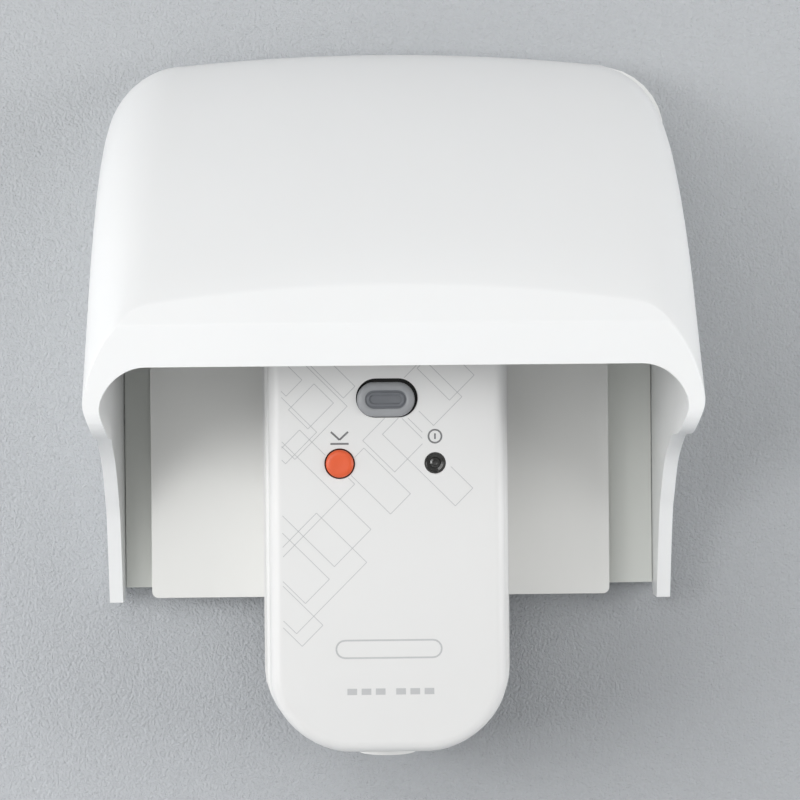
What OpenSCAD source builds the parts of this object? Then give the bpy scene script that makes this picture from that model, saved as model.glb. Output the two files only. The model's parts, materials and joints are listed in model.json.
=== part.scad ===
// Splash-proof wall socket with a plug-in residual current device.
// Millimetres. X runs to the right, Y into the wall, Z up. The origin is the centre of the
// socket panel on the wall plane, so anything in front of the wall has negative Y.
// "Depth" below always means the distance in front of the wall plane.

/* [Socket panel] */
// Side of the square panel
panel_w = 86; // [84:1:88]
// Depth of the panel's front face
panel_front = 9.5; // [9:0.5:10]
// Distance between the two fixing screws
fix_spacing = 60.3; // [58:0.1:62]
// Radius of a fixing screw's shank
fix_r = 2; // [1.75:0.25:2]
// Length of a fixing screw under its head
fix_len = 25; // [20:1:30]

/* [Splash hood] */
// Half of the hood's outside width
hood_hw = 52.7; // [52:0.1:54]
// Wall thickness of the hood
hood_t = 2.4; // [2:0.1:2.5]
// Sideways shift of the hood from the panel's centre
hood_x = 1.75; // [0:0.05:1.8]
// Depth of the hood's front lip
lip_depth = 60.5; // [58:0.5:63]
// Height of the lip's lower edge
lip_z = 0.2; // [0:0.1:2]
// Height of the wings' lower ends
wing_z = -43.8; // [-45:0.1:-42]
// Drop of the crowned top edge at its two ends
crown = 2.4; // [1.5:0.1:2.5]

/* [Residual current plug] */
// Width of the rear shell
case_w = 44.7; // [44:0.1:46]
// How far the front shell steps in on each side
case_step = 0.5; // [0.3:0.1:0.8]
// Depth of the case's front face
case_front = 41; // [40.5:0.5:42]
// Depth of the parting line between the two shells
case_part = 24; // [23:0.5:25]
// Height of the case's top edge
case_top = 25; // [24:0.5:27]
// Height of the case's lower end
case_bottom = -69; // [-70:0.1:-67]
// Wall thickness of the shells
case_t = 2; // [1.8:0.1:2.2]
// Sideways shift of the plug from the panel's centre
plug_x = 0.8; // [0:0.1:1]

/* [Controls] */
// Width of the oval reset button
reset_w = 10.3; // [9.5:0.1:10.5]
// Height of the oval reset button
reset_h = 6.1; // [5.5:0.1:6.2]
// Radius of the round test button
test_r = 2.45; // [2.2:0.05:2.5]
// Radius of the indicator window
lens_r = 1.85; // [1.6:0.05:2]

/* [Plug pins] */
// Width of the live and neutral blades
blade_w = 6.3; // [6:0.1:6.4]
// Thickness of every blade
blade_t = 1.6; // [1.5:0.05:1.6]
// Blade length in front of the case's back
blade_len = 18; // [16:0.5:18.5]
// Earth blade length
earth_len = 21; // [19:0.5:21.5]

/* [Cable entry] */
// Inside radius of the cable gland
gland_r = 4.1; // [3.5:0.1:4.2]
// How far the gland stands out below the case
gland_out = 2.2; // [1.8:0.1:4]

/* [Hidden] */
$fn = 48;

// depths of the layers on the wall
gasket_t = 1;
plate_front = 3.2;
yoke_front = 5.2;
panel_rim_back = 3.5;
panel_skin = 2;
cover_wall = 1.8;

// base plate
plate_hw = 50.1;
plate_top = 46.9;
plate_bottom = -41.5;
plate_corner = 10.6;
window_w = 54;
window_h = 56;
screw_hole_r = fix_r + 0.2;

// hood hinge: axis parallel to X
hinge_d = 7.2;
hinge_z = 52.8;
hinge_r_out = 6;
hinge_pin_r = 1.25;
hinge_bore_r = 1.3;
ear_x0 = 18;
ear_x1 = 26;
ear_r = 2.3;
ear_neck = 1.4;
ear_neck_angle = 130;
knuckle_r = 3.5;
knuckle_w = 3.2;
ear_gap = 0.3;
hood_back = hinge_d - hinge_r_out;

// housing behind the panel
housing_w = 51;
housing_h = 54;
housing_front = 7.3;
housing_back = -20;
housing_t = 1.8;

// pins, as in the plug's own plane: x, z and tilt from vertical
pin_x = 6.86;
pin_z = -3.96;
earth_z = 10.3;
pin_tilt = 30;
case_back = panel_front + 0.2;
pin_root = 13.5;
pin_gap = 0.05;

// inside of the case
skirt_front = 30.4;
body_step = 0.9;
floor_d = case_back + case_t;
ceiling_d = case_front - 2.2;
post_r = 3;
post_x = 16.8;
post_z = [19, -50];
case_screw_r = 1.2;
case_screw_len = 18;

// controls
reset_z = -5.75;
reset_proud = 0.9;
reset_slot_w = 10.9;
reset_slot_h = 6.9;
reset_slot_z = -5.5;
flange_gap = 0.2;
flange_t = 1.2;
stem_r = 2;
stem_bore = stem_r + 0.06;
row_z = -17;
row_x = 8.4;
test_hole_r = test_r + 0.25;
test_proud = 0.7;

// contact carrier, at rest with the contacts open
carrier_back = 20.2;
carrier_front = 24;
carrier_tube = 30;
guide_r = 1.2;
guide_x = 3.5;
guide_z = 3.6;
arm_x = 13;
rivet_x = 10.5;
rivet_z = -4;
rivet_r = 1.6;
contact_t = 1.2;

// circuit board
board_back = 32.4;
board_front = 34;
board_top = -11.5;
board_bottom = -46;
board_hw = 19.2;
board_screw_x = 16;
board_screw_z = [-15.5, -42];

// current transformer, axis along Z
ring_d = 19;
ring_z = -39;
ring_h = 6;
ring_ri = 3.9;
ring_ro = 6.6;
loops = 12;
loop_wire = 0.5;
bar_x0 = 0.8;
bar_x1 = 2.4;
bar_d = 19;

// trip coil, axis along Z
trip_x = 11;
trip_d = 21;
trip_z0 = -31;
trip_z1 = -17.6;
plunger_r = 2;
pivot_x = 16.8;
pivot_z = -11;
pivot_r = 1;
lever_back = 24.8;
lever_t = 1.8;
lever_h = 2.2;

// cable end
term_x = [-8, 0, 8];
term_z0 = -54;
term_z1 = -46;
gland_d = 17;
clamp_z = -59;
clamp_x = 8;

// ---------- outlines and small shapes ----------

function arc(c, r, a0, a1, n) =
    [for (i = [0:n]) let (a = a0 + (a1 - a0) * i / n) [c[0] + r * cos(a), c[1] + r * sin(a)]];

function bez(a, b, c, d, t) =
    pow(1 - t, 3) * a + 3 * t * pow(1 - t, 2) * b + 3 * t * t * (1 - t) * c + pow(t, 3) * d;

// rectangle with rounded corners, centred
function rounded(w, h, r, n = 6) = concat(
    arc([w / 2 - r, h / 2 - r], r, 0, 90, n),
    arc([r - w / 2, h / 2 - r], r, 90, 180, n),
    arc([r - w / 2, r - h / 2], r, 180, 270, n),
    arc([w / 2 - r, r - h / 2], r, 270, 360, n));

// a plate between two depths, from an outline in X and Z
module plate(d0, d1) {
    translate([0, -d0, 0]) rotate([90, 0, 0]) linear_extrude(d1 - d0) children();
}

// a round bar along Y, between two depths
module bar_y(x, z, r, d0, d1) {
    translate([x, -d0, z]) rotate([90, 0, 0]) cylinder(h = d1 - d0, r = r);
}

// a round bar along Z at depth d
module bar_z(x, d, r, z0, z1) {
    translate([x, -d, z0]) cylinder(h = z1 - z0, r = r);
}

// a round bar along X at depth d and height z
module bar_x(d, z, r, x0, x1) {
    translate([x0, -d, z]) rotate([0, 90, 0]) cylinder(h = x1 - x0, r = r);
}

// a box given by its limits in X, depth and Z
module block(x0, x1, d0, d1, z0, z1) {
    translate([x0, -d1, z0]) cube([x1 - x0, d1 - d0, z1 - z0]);
}

module pair() {
    children();
    mirror([1, 0, 0]) children();
}

// a coil spring along +Z from the origin
module coil(r, wire, h, turns) {
    steps = 12;
    sides = 6;
    n = turns * steps;
    points = [
        for (i = [0:n]) for (j = [0:sides - 1])
            let (a = 360 * i / steps, b = 360 * j / sides, s = r + wire * cos(b))
                [s * cos(a), s * sin(a), wire + (h - 2 * wire) * i / n + wire * sin(b)]
    ];
    walls = [
        for (i = [0:n - 1]) for (j = [0:sides - 1])
            let (a = i * sides + j, b = i * sides + (j + 1) % sides)
                each [[a, b, a + sides], [b, b + sides, a + sides]]
    ];
    ends = [[for (j = [sides - 1:-1:0]) j], [for (j = [0:sides - 1]) n * sides + j]];
    polyhedron(points = points, faces = concat(walls, ends));
}

// a coil spring along Y, from depth d0 to depth d1
module coil_y(x, z, r, wire, d0, d1, turns) {
    translate([x, -d0, z]) rotate([90, 0, 0]) coil(r, wire, d1 - d0, turns);
}

// a blade's outline: rectangle turned by tilt, grown by g all round
module blade_2d(x, z, w, tilt, g = 0) {
    translate([x, z]) rotate(tilt) square([blade_t + 2 * g, w + 2 * g], center = true);
}

module all_blades_2d(g) {
    translate([plug_x, 0]) {
        blade_2d(-pin_x, pin_z, blade_w, pin_tilt, g);
        blade_2d(pin_x, pin_z, blade_w, -pin_tilt, g);
        blade_2d(0, earth_z, blade_w, 0, g);
    }
}

// ---------- wall parts ----------

module gasket_2d() {
    polygon(concat(
        arc([40.6 + hood_x, 44.5], 12.6, 0, 90, 8),
        arc([hood_x - 39.4, 44.5], 12.6, 90, 180, 8),
        [[hood_x - plate_hw, -40.5], [hood_x + plate_hw, -40.5]]));
}

module wall_holes_2d() {
    translate([plug_x, 0]) square([window_w, window_h], center = true);
    for (s = [-1, 1]) translate([s * fix_spacing / 2, 0]) circle(r = screw_hole_r);
}

module wall_gasket() {
    color("whitesmoke") difference() {
        plate(0, gasket_t) gasket_2d();
        plate(-1, gasket_t + 1) wall_holes_2d();
    }
}

module base_plate_2d() {
    z0 = plate_bottom;
    translate([hood_x, 0]) polygon(concat(
        arc([plate_hw - plate_corner, plate_top - plate_corner], plate_corner, 0, 90, 8),
        arc([plate_corner - plate_hw, plate_top - plate_corner], plate_corner, 90, 180, 8),
        [[-plate_hw, z0], [plate_hw, z0]]));
}

// a hinge ear: barrel, and a neck that keeps to the front of the swinging hood edge
module ear() {
    along = [sin(ear_neck_angle), cos(ear_neck_angle)];
    side = [-cos(ear_neck_angle), sin(ear_neck_angle)];
    axis = [hinge_d, hinge_z];
    neck = 9.5;
    foot_z0 = plate_top - 3.6;
    foot_z1 = plate_top - 1.7;
    outline = [
        axis + ear_neck * side,
        axis + neck * along + ear_neck * side,
        [axis[0] + neck * along[0] + ear_neck * side[0], foot_z0],
        [gasket_t + 1, foot_z0],
        [gasket_t + 1, foot_z1],
        [axis[0] + 5.4, foot_z1],
        axis + neck * along - ear_neck * side,
        axis - ear_neck * side
    ];
    difference() {
        union() {
            translate([ear_x0, 0, 0]) rotate([90, 0, 90])
                linear_extrude(ear_x1 - ear_x0) polygon([for (p = outline) [-p[0], p[1]]]);
            bar_x(hinge_d, hinge_z, ear_r, ear_x0, ear_x1);
        }
        bar_x(hinge_d, hinge_z, hinge_pin_r + 0.01, ear_x0 - 1, ear_x1 + 1);
    }
}

module base_frame() {
    color("gainsboro") {
        difference() {
            plate(gasket_t, plate_front) base_plate_2d();
            plate(0, plate_front + 1) wall_holes_2d();
        }
        translate([hood_x, 0, 0]) pair() ear();
    }
}

module hinge_pins() {
    color("silver") translate([hood_x, 0, 0]) pair() bar_x(
        hinge_d, hinge_z, hinge_pin_r,
        ear_x0 - ear_gap - knuckle_w, ear_x1 + ear_gap + knuckle_w);
}

// ---------- hood ----------
// The shell is swept from two curves in depth and height: "ridge" along the middle of the
// top and front, and "edge" along the side wall, with a rounded corner between them.

ring_steps = 7;
slope_steps = 9;
lip_steps = 4;
edge_drop = 17;
ridge_start = [hinge_d + hinge_r_out * sin(28), hinge_z + hinge_r_out * cos(28)];
crease = [lip_depth - 1.8, 14.4];
edge_knee = [lip_depth - 6.5, lip_z + 1];
edge_tip = [lip_depth - 1.5, lip_z - 6.6];

function ring_at(i, r) = let (a = -88 + 116 * i / ring_steps)
    [hinge_d + r * sin(a), hinge_z + r * cos(a)];
function ridge_at(t) =
    bez(ridge_start, [27.7, 49.1], crease + [-6.2, 10.4], crease, t);
function edge_at(t) =
    bez(ridge_start - [0, edge_drop], [22, 37.5], edge_knee + [-10, 15.5], edge_knee, t);
// the lip turns from the crease to the vertical, then runs straight down
function lip_at(t) = [
    lip_depth - (lip_depth - crease[0]) * pow(1 - t, 3),
    crease[1] + (lip_z - crease[1]) * t
];

ridge = concat(
    [for (i = [0:ring_steps]) ring_at(i, hinge_r_out)],
    [for (i = [1:slope_steps]) ridge_at(i / slope_steps)],
    [for (i = [1:lip_steps]) lip_at(i / lip_steps)]);
edge = concat(
    [for (i = [0:ring_steps]) ring_at(i, hinge_r_out) - [0, edge_drop]],
    [for (i = [1:slope_steps]) edge_at(i / slope_steps)],
    [for (i = [1:lip_steps]) edge_knee + (edge_tip - edge_knee) * i / lip_steps]);
rows = len(ridge);

// unit normal of the ridge, pointing out of the hood
function ridge_normal(i) = let (
    a = ridge[max(i - 1, 0)],
    b = ridge[min(i + 1, rows - 1)],
    v = (b - a) / norm(b - a)) [-v[1], v[0]];
inner_ridge = [
    for (i = [0:rows - 1])
        i == rows - 1 ? ridge[i] - [hood_t, 0]
            : i <= ring_steps ? ring_at(i, hinge_r_out - hood_t)
                : ridge[i] - hood_t * ridge_normal(i)
];

// how far down the crown has dropped at the end of the corner, for each row
function sag_at(i) = i <= ring_steps ? crown
    : i <= ring_steps + slope_steps ? crown + 0.8 * (i - ring_steps) / slope_steps
        : (crown + 0.8) * (rows - 1 - i) / lip_steps;
// sideways reach of the rounded corner, for each row
function corner_at(i) = i <= ring_steps ? 15
    : 15 - 7 * (i - ring_steps) / (rows - 1 - ring_steps);

mid_cols = 5;
corner_cols = 6;

// one row of points from the left side wall over to the right one
function half_row(line, i, inset) = let (
    flat = hood_hw - corner_at(i),
    reach = hood_hw - inset - flat,
    end = line[i] - [0, sag_at(i)]) concat(
        [for (j = [1:mid_cols - 1]) let (u = j / mid_cols)
            [u * flat, -line[i][0], line[i][1] - sag_at(i) * u * u]],
        [for (j = [0:corner_cols]) let (
            a = 90 * j / corner_cols,
            p = end + (edge[i] - end) * (1 - cos(a)))
            [flat + reach * sin(a), -p[0], p[1]]]);
function hood_row(line, i, inset) = let (h = half_row(line, i, inset)) concat(
    [for (j = [len(h) - 1:-1:0]) [-h[j][0], h[j][1], h[j][2]]],
    [[0, -line[i][0], line[i][1]]],
    h);

// lower outline of a side wall, from the lip's corner round to the back edge
wing = concat(
    [for (i = [1:6]) bez(edge_tip, edge_tip - [0.3, 3], [57.5, -11.8], [50, -12.1], i / 6)],
    [for (i = [1:9]) bez([50, -12.1], [21, -12.4], [21.5, -20], [15.4, -26], i / 9)],
    [for (i = [1:4]) bez([15.4, -26], [13.2, -30], [11.5, -37], [9.5, wing_z], i / 4)],
    [[3.5, wing_z], [hood_back, wing_z + 3.5]]);

// faces of a flat side wall, as a fan from its upper back corner, with the rim of the wing
function wall_faces(outer, inner, first) = let (total = len(outer)) concat(
    [for (k = [1:total - 2]) [outer[0], outer[k + 1], outer[k]]],
    [for (k = [1:total - 2]) [inner[0], inner[k], inner[k + 1]]],
    [for (k = [first:total - 1]) let (q = (k + 1) % total)
        each [[outer[k], outer[q], inner[k]], [outer[q], inner[q], inner[k]]]]);
function flipped(faces) = [for (f = faces) [f[0], f[2], f[1]]];

// the whole sheet: outer and inner surfaces joined round their edges
module hood_sheet() {
    cols = 2 * (mid_cols + corner_cols) + 1;
    outer = [for (i = [0:rows - 1]) each hood_row(ridge, i, 0)];
    inner = [for (i = [0:rows - 1]) each hood_row(inner_ridge, i, hood_t)];
    wings = [for (x = [hood_hw, hood_hw - hood_t, -hood_hw, hood_t - hood_hw]) for (p = wing)
        [x, -p[0], p[1]]];
    n = rows * cols;
    m = len(wing);
    sheets = [
        for (i = [0:rows - 2]) for (j = [0:cols - 2]) let (
            a = i * cols + j, b = a + 1, c = a + cols, d = c + 1)
                each [[a, b, c], [b, d, c], [n + a, n + c, n + b], [n + b, n + c, n + d]]
    ];
    ends = [
        for (j = [0:cols - 2]) let (e = (rows - 1) * cols + j)
            each [[j, n + j, j + 1], [j + 1, n + j, n + j + 1],
                  [e, e + 1, n + e], [e + 1, n + e + 1, n + e]]
    ];
    loops = [for (k = [0:3]) concat(
        [for (i = [0:rows - 1]) (k % 2) * n + i * cols + (k < 2 ? cols - 1 : 0)],
        [for (q = [0:m - 1]) 2 * n + k * m + q])];
    polyhedron(
        points = concat(outer, inner, wings),
        faces = concat(sheets, ends, wall_faces(loops[0], loops[1], rows - 1),
            flipped(wall_faces(loops[2], loops[3], rows - 1))));
}

module splash_hood() {
    color("white") translate([hood_x, 0, 0]) difference() {
        union() {
            hood_sheet();
            pair() for (x = [ear_x0 - ear_gap - knuckle_w, ear_x1 + ear_gap])
                bar_x(hinge_d, hinge_z, knuckle_r, x, x + knuckle_w);
        }
        pair() bar_x(hinge_d, hinge_z, hinge_bore_r,
            ear_x0 - ear_gap - knuckle_w - 1, ear_x1 + ear_gap + knuckle_w + 1);
    }
}

// ---------- socket ----------

module socket_cover() {
    color("white") difference() {
        plate(panel_rim_back, panel_front) polygon(rounded(panel_w, panel_w, 1.2));
        plate(panel_rim_back - 1, panel_front - panel_skin)
            polygon(rounded(panel_w - 2 * cover_wall, panel_w - 2 * cover_wall, 0.8));
        plate(panel_rim_back, panel_front + 1) all_blades_2d(0.3);
    }
}

module socket_yoke() {
    size = panel_w - 2 * cover_wall - 0.8;
    color("silver") difference() {
        plate(plate_front, yoke_front) polygon(rounded(size, size, 3));
        plate(plate_front - 1, yoke_front + 1)
            translate([plug_x, 0]) square([housing_w + 0.6, housing_h + 0.6], center = true);
        for (s = [-1, 1]) bar_y(s * fix_spacing / 2, 0, screw_hole_r, 0, yoke_front + 1);
    }
}

module socket_housing() {
    color("ivory") translate([plug_x, 0, 0]) difference() {
        union() {
            plate(housing_back, housing_front) square([housing_w, housing_h], center = true);
            plate(yoke_front, yoke_front + 1.2) square([40, housing_h + 8], center = true);
        }
        plate(housing_back + housing_t, housing_front + 1)
            square([housing_w - 2 * housing_t, housing_h - 2 * housing_t], center = true);
        for (p = terminals) bar_y(p[0], p[1], 2.7, housing_back - 1, housing_back + housing_t + 1);
    }
}

// x, z of the three socket terminals, seen in the plug's own plane
terminals = [[-14, pin_z], [14, pin_z], [0, 19]];
clip_t = 0.6;
clip_w = 6;
clip_front = 4;
clip_back = -12;
term_front = -13;
term_back = -18;

// a spring clip round one blade, with a terminal behind it
module clip(x, z, tilt, terminal) {
    translate([plug_x, 0, 0]) {
        for (s = [-1, 1]) plate(clip_back, clip_front)
            translate([x, z]) rotate(tilt)
                translate([s * (blade_t / 2 + pin_gap + clip_t / 2), 0])
                    square([clip_t, clip_w], center = true);
        plate(term_front, clip_back) {
            translate([x, z]) rotate(tilt) square([blade_t + 2 * clip_t + 0.1, clip_w],
                center = true);
            translate([(x + terminal[0]) / 2, (z + terminal[1]) / 2])
                square([abs(x - terminal[0]) + 4, abs(z - terminal[1]) + 4], center = true);
        }
        difference() {
            plate(term_back, term_front) translate(terminal) square([8, 8], center = true);
            bar_y(terminal[0], terminal[1], 1.8, term_back - 1, term_front - 1);
        }
    }
}

module socket_live_contact() {
    color("gold") clip(-pin_x, pin_z, pin_tilt, terminals[0]);
}

module socket_neutral_contact() {
    color("gold") clip(pin_x, pin_z, -pin_tilt, terminals[1]);
}

module socket_earth_contact() {
    color("gold") clip(0, earth_z, 0, terminals[2]);
}

module socket_terminal_screws() {
    color("silver") for (p = terminals) translate([plug_x, 0, 0]) {
        bar_y(p[0], p[1], 1.75, term_back, term_front - 1.5);
        difference() {
            bar_y(p[0], p[1], 2.5, term_back - 1.6, term_back);
            plate(term_back - 2, term_back - 0.8)
                translate(p) square([6, 0.8], center = true);
        }
    }
}

shutter_back = 5.4;
shutter_front = 6.6;

module safety_shutter() {
    color("white") difference() {
        plate(shutter_back, shutter_front) translate([plug_x, 0]) square([30, 24], center = true);
        plate(shutter_back - 1, shutter_front + 1) all_blades_2d(0.6);
    }
}

module shutter_spring() {
    color("silver") translate([plug_x + 15.5, -6, -6]) rotate([0, 90, 0])
        coil(0.8, 0.2, 8, 6);
}

module mounting_screws() {
    color("silver") for (s = [-1, 1]) {
        bar_y(s * fix_spacing / 2, 0, fix_r, yoke_front - fix_len, 0);
        // plain neck, thinner than the thread, through the layers on the wall
        bar_y(s * fix_spacing / 2, 0, fix_r - 0.25, 0, yoke_front);
        difference() {
            bar_y(s * fix_spacing / 2, 0, 3.6, yoke_front, yoke_front + 2.1);
            plate(yoke_front + 1, yoke_front + 3) translate([s * fix_spacing / 2, 0]) {
                square([5, 0.9], center = true);
                square([0.9, 5], center = true);
            }
        }
    }
}

// ---------- case of the plug ----------

// outline of the case, moved in by g: straight sides, rounded top, full lower corners
function case_outline(w, g) = let (
    hw = w / 2 - g,
    a = 15 - g,
    b = 14 - g,
    e = 2 / 1.85,
    n = 9,
    corner = [for (i = [0:n]) let (t = 90 * i / n)
        [hw - a + a * pow(cos(t), e), case_bottom + g + b - b * pow(sin(t), e)]]) concat(
            arc([hw - 5 + g, case_top - 5], 5 - g, 0, 90, 5),
            arc([5 - g - hw, case_top - 5], 5 - g, 90, 180, 5),
            [for (i = [0:n]) [-corner[i][0], corner[i][1]]],
            [for (i = [n - 1:-1:0]) corner[i]]);

module case_slab(w, g, d0, d1) {
    translate([plug_x, 0, 0]) plate(d0, d1) polygon(case_outline(w, g));
}

module at_posts() {
    for (x = [-post_x, post_x], z = post_z) translate([plug_x + x, 0, z]) children();
}

module rear_shell() {
    color("whitesmoke") difference() {
        union() {
            difference() {
                case_slab(case_w, 0, case_back, case_part);
                case_slab(case_w, case_t, floor_d, case_part + 1);
            }
            at_posts() bar_y(0, 0, 3.4, case_back + 0.5, case_part);
            translate([plug_x, 0, 0]) {
                for (s = [-1, 1]) {
                    bar_y(s * guide_x, guide_z, guide_r, floor_d - 0.5, 28);
                    bar_y(s * clamp_x, clamp_z, 2.6, floor_d - 0.5, 22);
                }
                bar_y(pivot_x, pivot_z, 2.2, floor_d - 0.5, lever_back - 0.2);
                bar_y(pivot_x, pivot_z, pivot_r, floor_d, 28.5);
                block(6, 16, floor_d - 0.5, 14.9, -30, -19);
                // socket for the cable gland, standing in from the lower wall
                block(-6.8, 6.8, floor_d - 0.5, case_part, case_bottom + 1, case_bottom + 5);
            }
        }
        plate(case_back - 1, floor_d + 1) all_blades_2d(pin_gap);
        at_posts() {
            bar_y(0, 0, 2.9, case_back - 1, case_back + 2.5);
            bar_y(0, 0, case_screw_r + 0.3, case_back, case_part + 1);
        }
        translate([plug_x, 0, 0]) {
            bar_z(0, gland_d, 5.25, case_bottom - 1, case_bottom + 6);
            for (s = [-1, 1]) bar_y(s * clamp_x, clamp_z, 1.05, floor_d + 1, 23);
        }
    }
}

module oval_2d(w, h) {
    polygon(rounded(w, h, h / 2 - 0.01, 8));
}

module front_shell() {
    w = case_w - 2 * case_step;
    color("white") difference() {
        union() {
            difference() {
                union() {
                    case_slab(w, 0, case_part, skirt_front);
                    hull() {
                        case_slab(w, body_step, skirt_front - 1, case_front - 2.4);
                        case_slab(w, body_step + 0.35, case_front - 1.4, case_front - 1.2);
                        case_slab(w, body_step + 1, case_front - 0.5, case_front - 0.4);
                        case_slab(w, body_step + 2.1, case_front - 0.2, case_front);
                    }
                }
                case_slab(w, case_t, case_part - 1, ceiling_d);
            }
            at_posts() bar_y(0, 0, post_r, case_part, ceiling_d + 0.5);
            translate([plug_x, 0, 0]) for (s = [-1, 1], z = board_screw_z)
                bar_y(s * board_screw_x, z, 2, board_front, ceiling_d + 0.5);
        }
        at_posts() bar_y(0, 0, case_screw_r + 0.02, case_part - 1, ceiling_d - 2);
        translate([plug_x, 0, 0]) {
            plate(ceiling_d - 1, case_front + 1) translate([0, reset_slot_z])
                oval_2d(reset_slot_w, reset_slot_h);
            bar_y(-row_x, row_z, test_hole_r, ceiling_d - 1, case_front + 1);
            bar_y(row_x, row_z, lens_r + 0.02, ceiling_d - 1, case_front + 1);
            for (s = [-1, 1], z = board_screw_z)
                bar_y(s * board_screw_x, z, 0.97, board_front - 1, ceiling_d - 0.6);
        }
    }
}

module case_screws() {
    color("silver") at_posts() {
        difference() {
            bar_y(0, 0, 2.6, case_back + 0.6, case_back + 2.5);
            plate(case_back - 1, case_back + 1.6) {
                square([3.6, 0.7], center = true);
                square([0.7, 3.6], center = true);
            }
        }
        bar_y(0, 0, case_screw_r, case_back + 2.5, case_back + 2.5 + case_screw_len);
    }
}

module pin(x, z, tilt, len) {
    difference() {
        translate([plug_x, 0, 0]) plate(case_back - len, pin_root) blade_2d(x, z, blade_w, tilt);
        // the tip is tapered on both faces
        translate([plug_x + x, -(case_back - len), z]) rotate([0, -tilt, 0])
            for (s = [-1, 1]) translate([s * blade_t / 2, 0, 0]) rotate([0, 0, s * 20])
                cube([0.8, 2, 8], center = true);
    }
}

module live_pin() {
    color("gold") pin(-pin_x, pin_z, pin_tilt, blade_len);
}

module neutral_pin() {
    color("gold") pin(pin_x, pin_z, -pin_tilt, blade_len);
}

module earth_pin() {
    color("gold") pin(0, earth_z, 0, earth_len);
}

// ---------- current path ----------

module earth_strap() {
    d0 = floor_d + 0.2;
    d1 = d0 + 0.8;
    color("gold") translate([plug_x, 0, 0]) {
        block(-13.5, -blade_t / 2, d0, d1, 9, 11.5);
        block(-13.5, -11, d0, d1, -44.9, 11.5);
        block(-13.5, 1.5, d0, d1, -44.9, -42.4);
        block(-1.5, 1.5, d0, 16, -44.9, -44.1);
        block(-1.5, 1.5, 14.1, 16, term_z1, -44.1);
    }
}

module fixed_contacts() {
    color("gold") translate([plug_x, 0, 0]) pair() {
        block(4, 14, pin_root, pin_root + contact_t, -7, -1);
        bar_y(rivet_x, rivet_z, rivet_r, pin_root + contact_t, pin_root + 2 * contact_t);
    }
}

module contact_carrier() {
    color("dimgray") translate([plug_x, 0, 0]) difference() {
        union() {
            block(-5.5, 5.5, carrier_back, carrier_front, -9.5, 6);
            block(-arm_x, arm_x, carrier_back, carrier_back + 2.4, -6.5, -1.5);
            bar_y(0, reset_z, 3.6, carrier_front, carrier_tube);
        }
        bar_y(0, reset_z, stem_bore, carrier_front + 0.8, carrier_tube + 1);
        for (s = [-1, 1])
            bar_y(s * guide_x, guide_z, guide_r + 0.06, carrier_back - 1, carrier_front + 1);
    }
}

module moving_contacts() {
    color("gold") translate([plug_x, 0, 0]) pair() {
        block(6, arm_x, carrier_back - 0.8, carrier_back, -6, -2);
        bar_y(rivet_x, rivet_z, rivet_r, carrier_back - 2.8, carrier_back - 0.8);
    }
}

module carrier_springs() {
    color("silver") for (s = [-1, 1])
        coil_y(plug_x + s * guide_x, guide_z, 1.75, 0.25, floor_d + 0.1, carrier_back - 0.1, 6);
}

module live_busbar() {
    color("peru") translate([plug_x, 0, 0]) mirror([1, 0, 0]) busbar();
}

module neutral_busbar() {
    color("peru") translate([plug_x, 0, 0]) busbar();
}

// from a cable terminal, in to the middle, and up through the transformer ring
module busbar() {
    block(bar_x0, bar_x1, bar_d - 1.2, bar_d + 1.2, term_z1, -26);
    block(bar_x0, term_x[2] + 2, bar_d - 1.2, bar_d + 1.2, term_z1, term_z1 + 2.2);
}

// ---------- controls ----------

module reset_button() {
    flange_d = ceiling_d - flange_gap;
    color("slategray") translate([plug_x, 0, reset_z]) {
        difference() {
            union() {
                plate(flange_d - flange_t, case_front + reset_proud) oval_2d(reset_w, reset_h);
                plate(flange_d - flange_t, flange_d) oval_2d(reset_w + 2, reset_h + 1.6);
            }
            // concentric groove in the dished face
            plate(case_front + reset_proud - 0.35, case_front + reset_proud + 1) difference() {
                oval_2d(reset_w - 2.6, reset_h - 2.6);
                oval_2d(reset_w - 3.6, reset_h - 3.6);
            }
        }
        bar_y(0, 0, stem_r, 27.2, flange_d - flange_t);
    }
}

module reset_spring() {
    color("silver") coil_y(plug_x, reset_z, 2.9, 0.3, carrier_tube + 0.1,
        ceiling_d - flange_gap - flange_t - 0.1, 5);
}

module test_button() {
    flange_d = ceiling_d - flange_gap;
    color("tomato") translate([plug_x - row_x, 0, row_z]) {
        bar_y(0, 0, test_r, flange_d - flange_t, case_front + test_proud);
        bar_y(0, 0, test_r + 1.1, flange_d - flange_t, flange_d);
        bar_y(0, 0, 1.2, flange_d - flange_t - 0.9, flange_d - flange_t);
    }
}

module test_contact_spring() {
    tip_d = ceiling_d - flange_gap - flange_t - 1.1;
    color("gold") translate([plug_x, 0, row_z]) {
        block(-13.4, -7.6, tip_d - 0.4, tip_d, -1.5, 1.5);
        block(-13.8, -13.4, board_front + 0.4, tip_d, -1.5, 1.5);
        block(-13.8, -12.2, board_front, board_front + 0.4, -1.5, 1.5);
    }
}

module indicator_lens() {
    color("dimgray") translate([plug_x + row_x, 0, row_z]) {
        bar_y(0, 0, lens_r, ceiling_d - 0.1, case_front - 0.3);
        bar_y(0, 0, lens_r + 0.8, ceiling_d - 1, ceiling_d - 0.1);
    }
}

module indicator_led() {
    color("darkred") translate([plug_x + row_x, 0, row_z]) {
        bar_y(0, 0, 1.5, board_front, 36.4);
        translate([0, -36.4, 0]) sphere(r = 1.2);
    }
}

// ---------- electronics ----------

module circuit_board() {
    color("seagreen") translate([plug_x, 0, 0]) difference() {
        block(-board_hw, board_hw, board_back, board_front, board_bottom, board_top);
        for (s = [-1, 1], z = board_screw_z)
            bar_y(s * board_screw_x, z, 1.2, board_back - 1, board_front + 1);
    }
}

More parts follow.
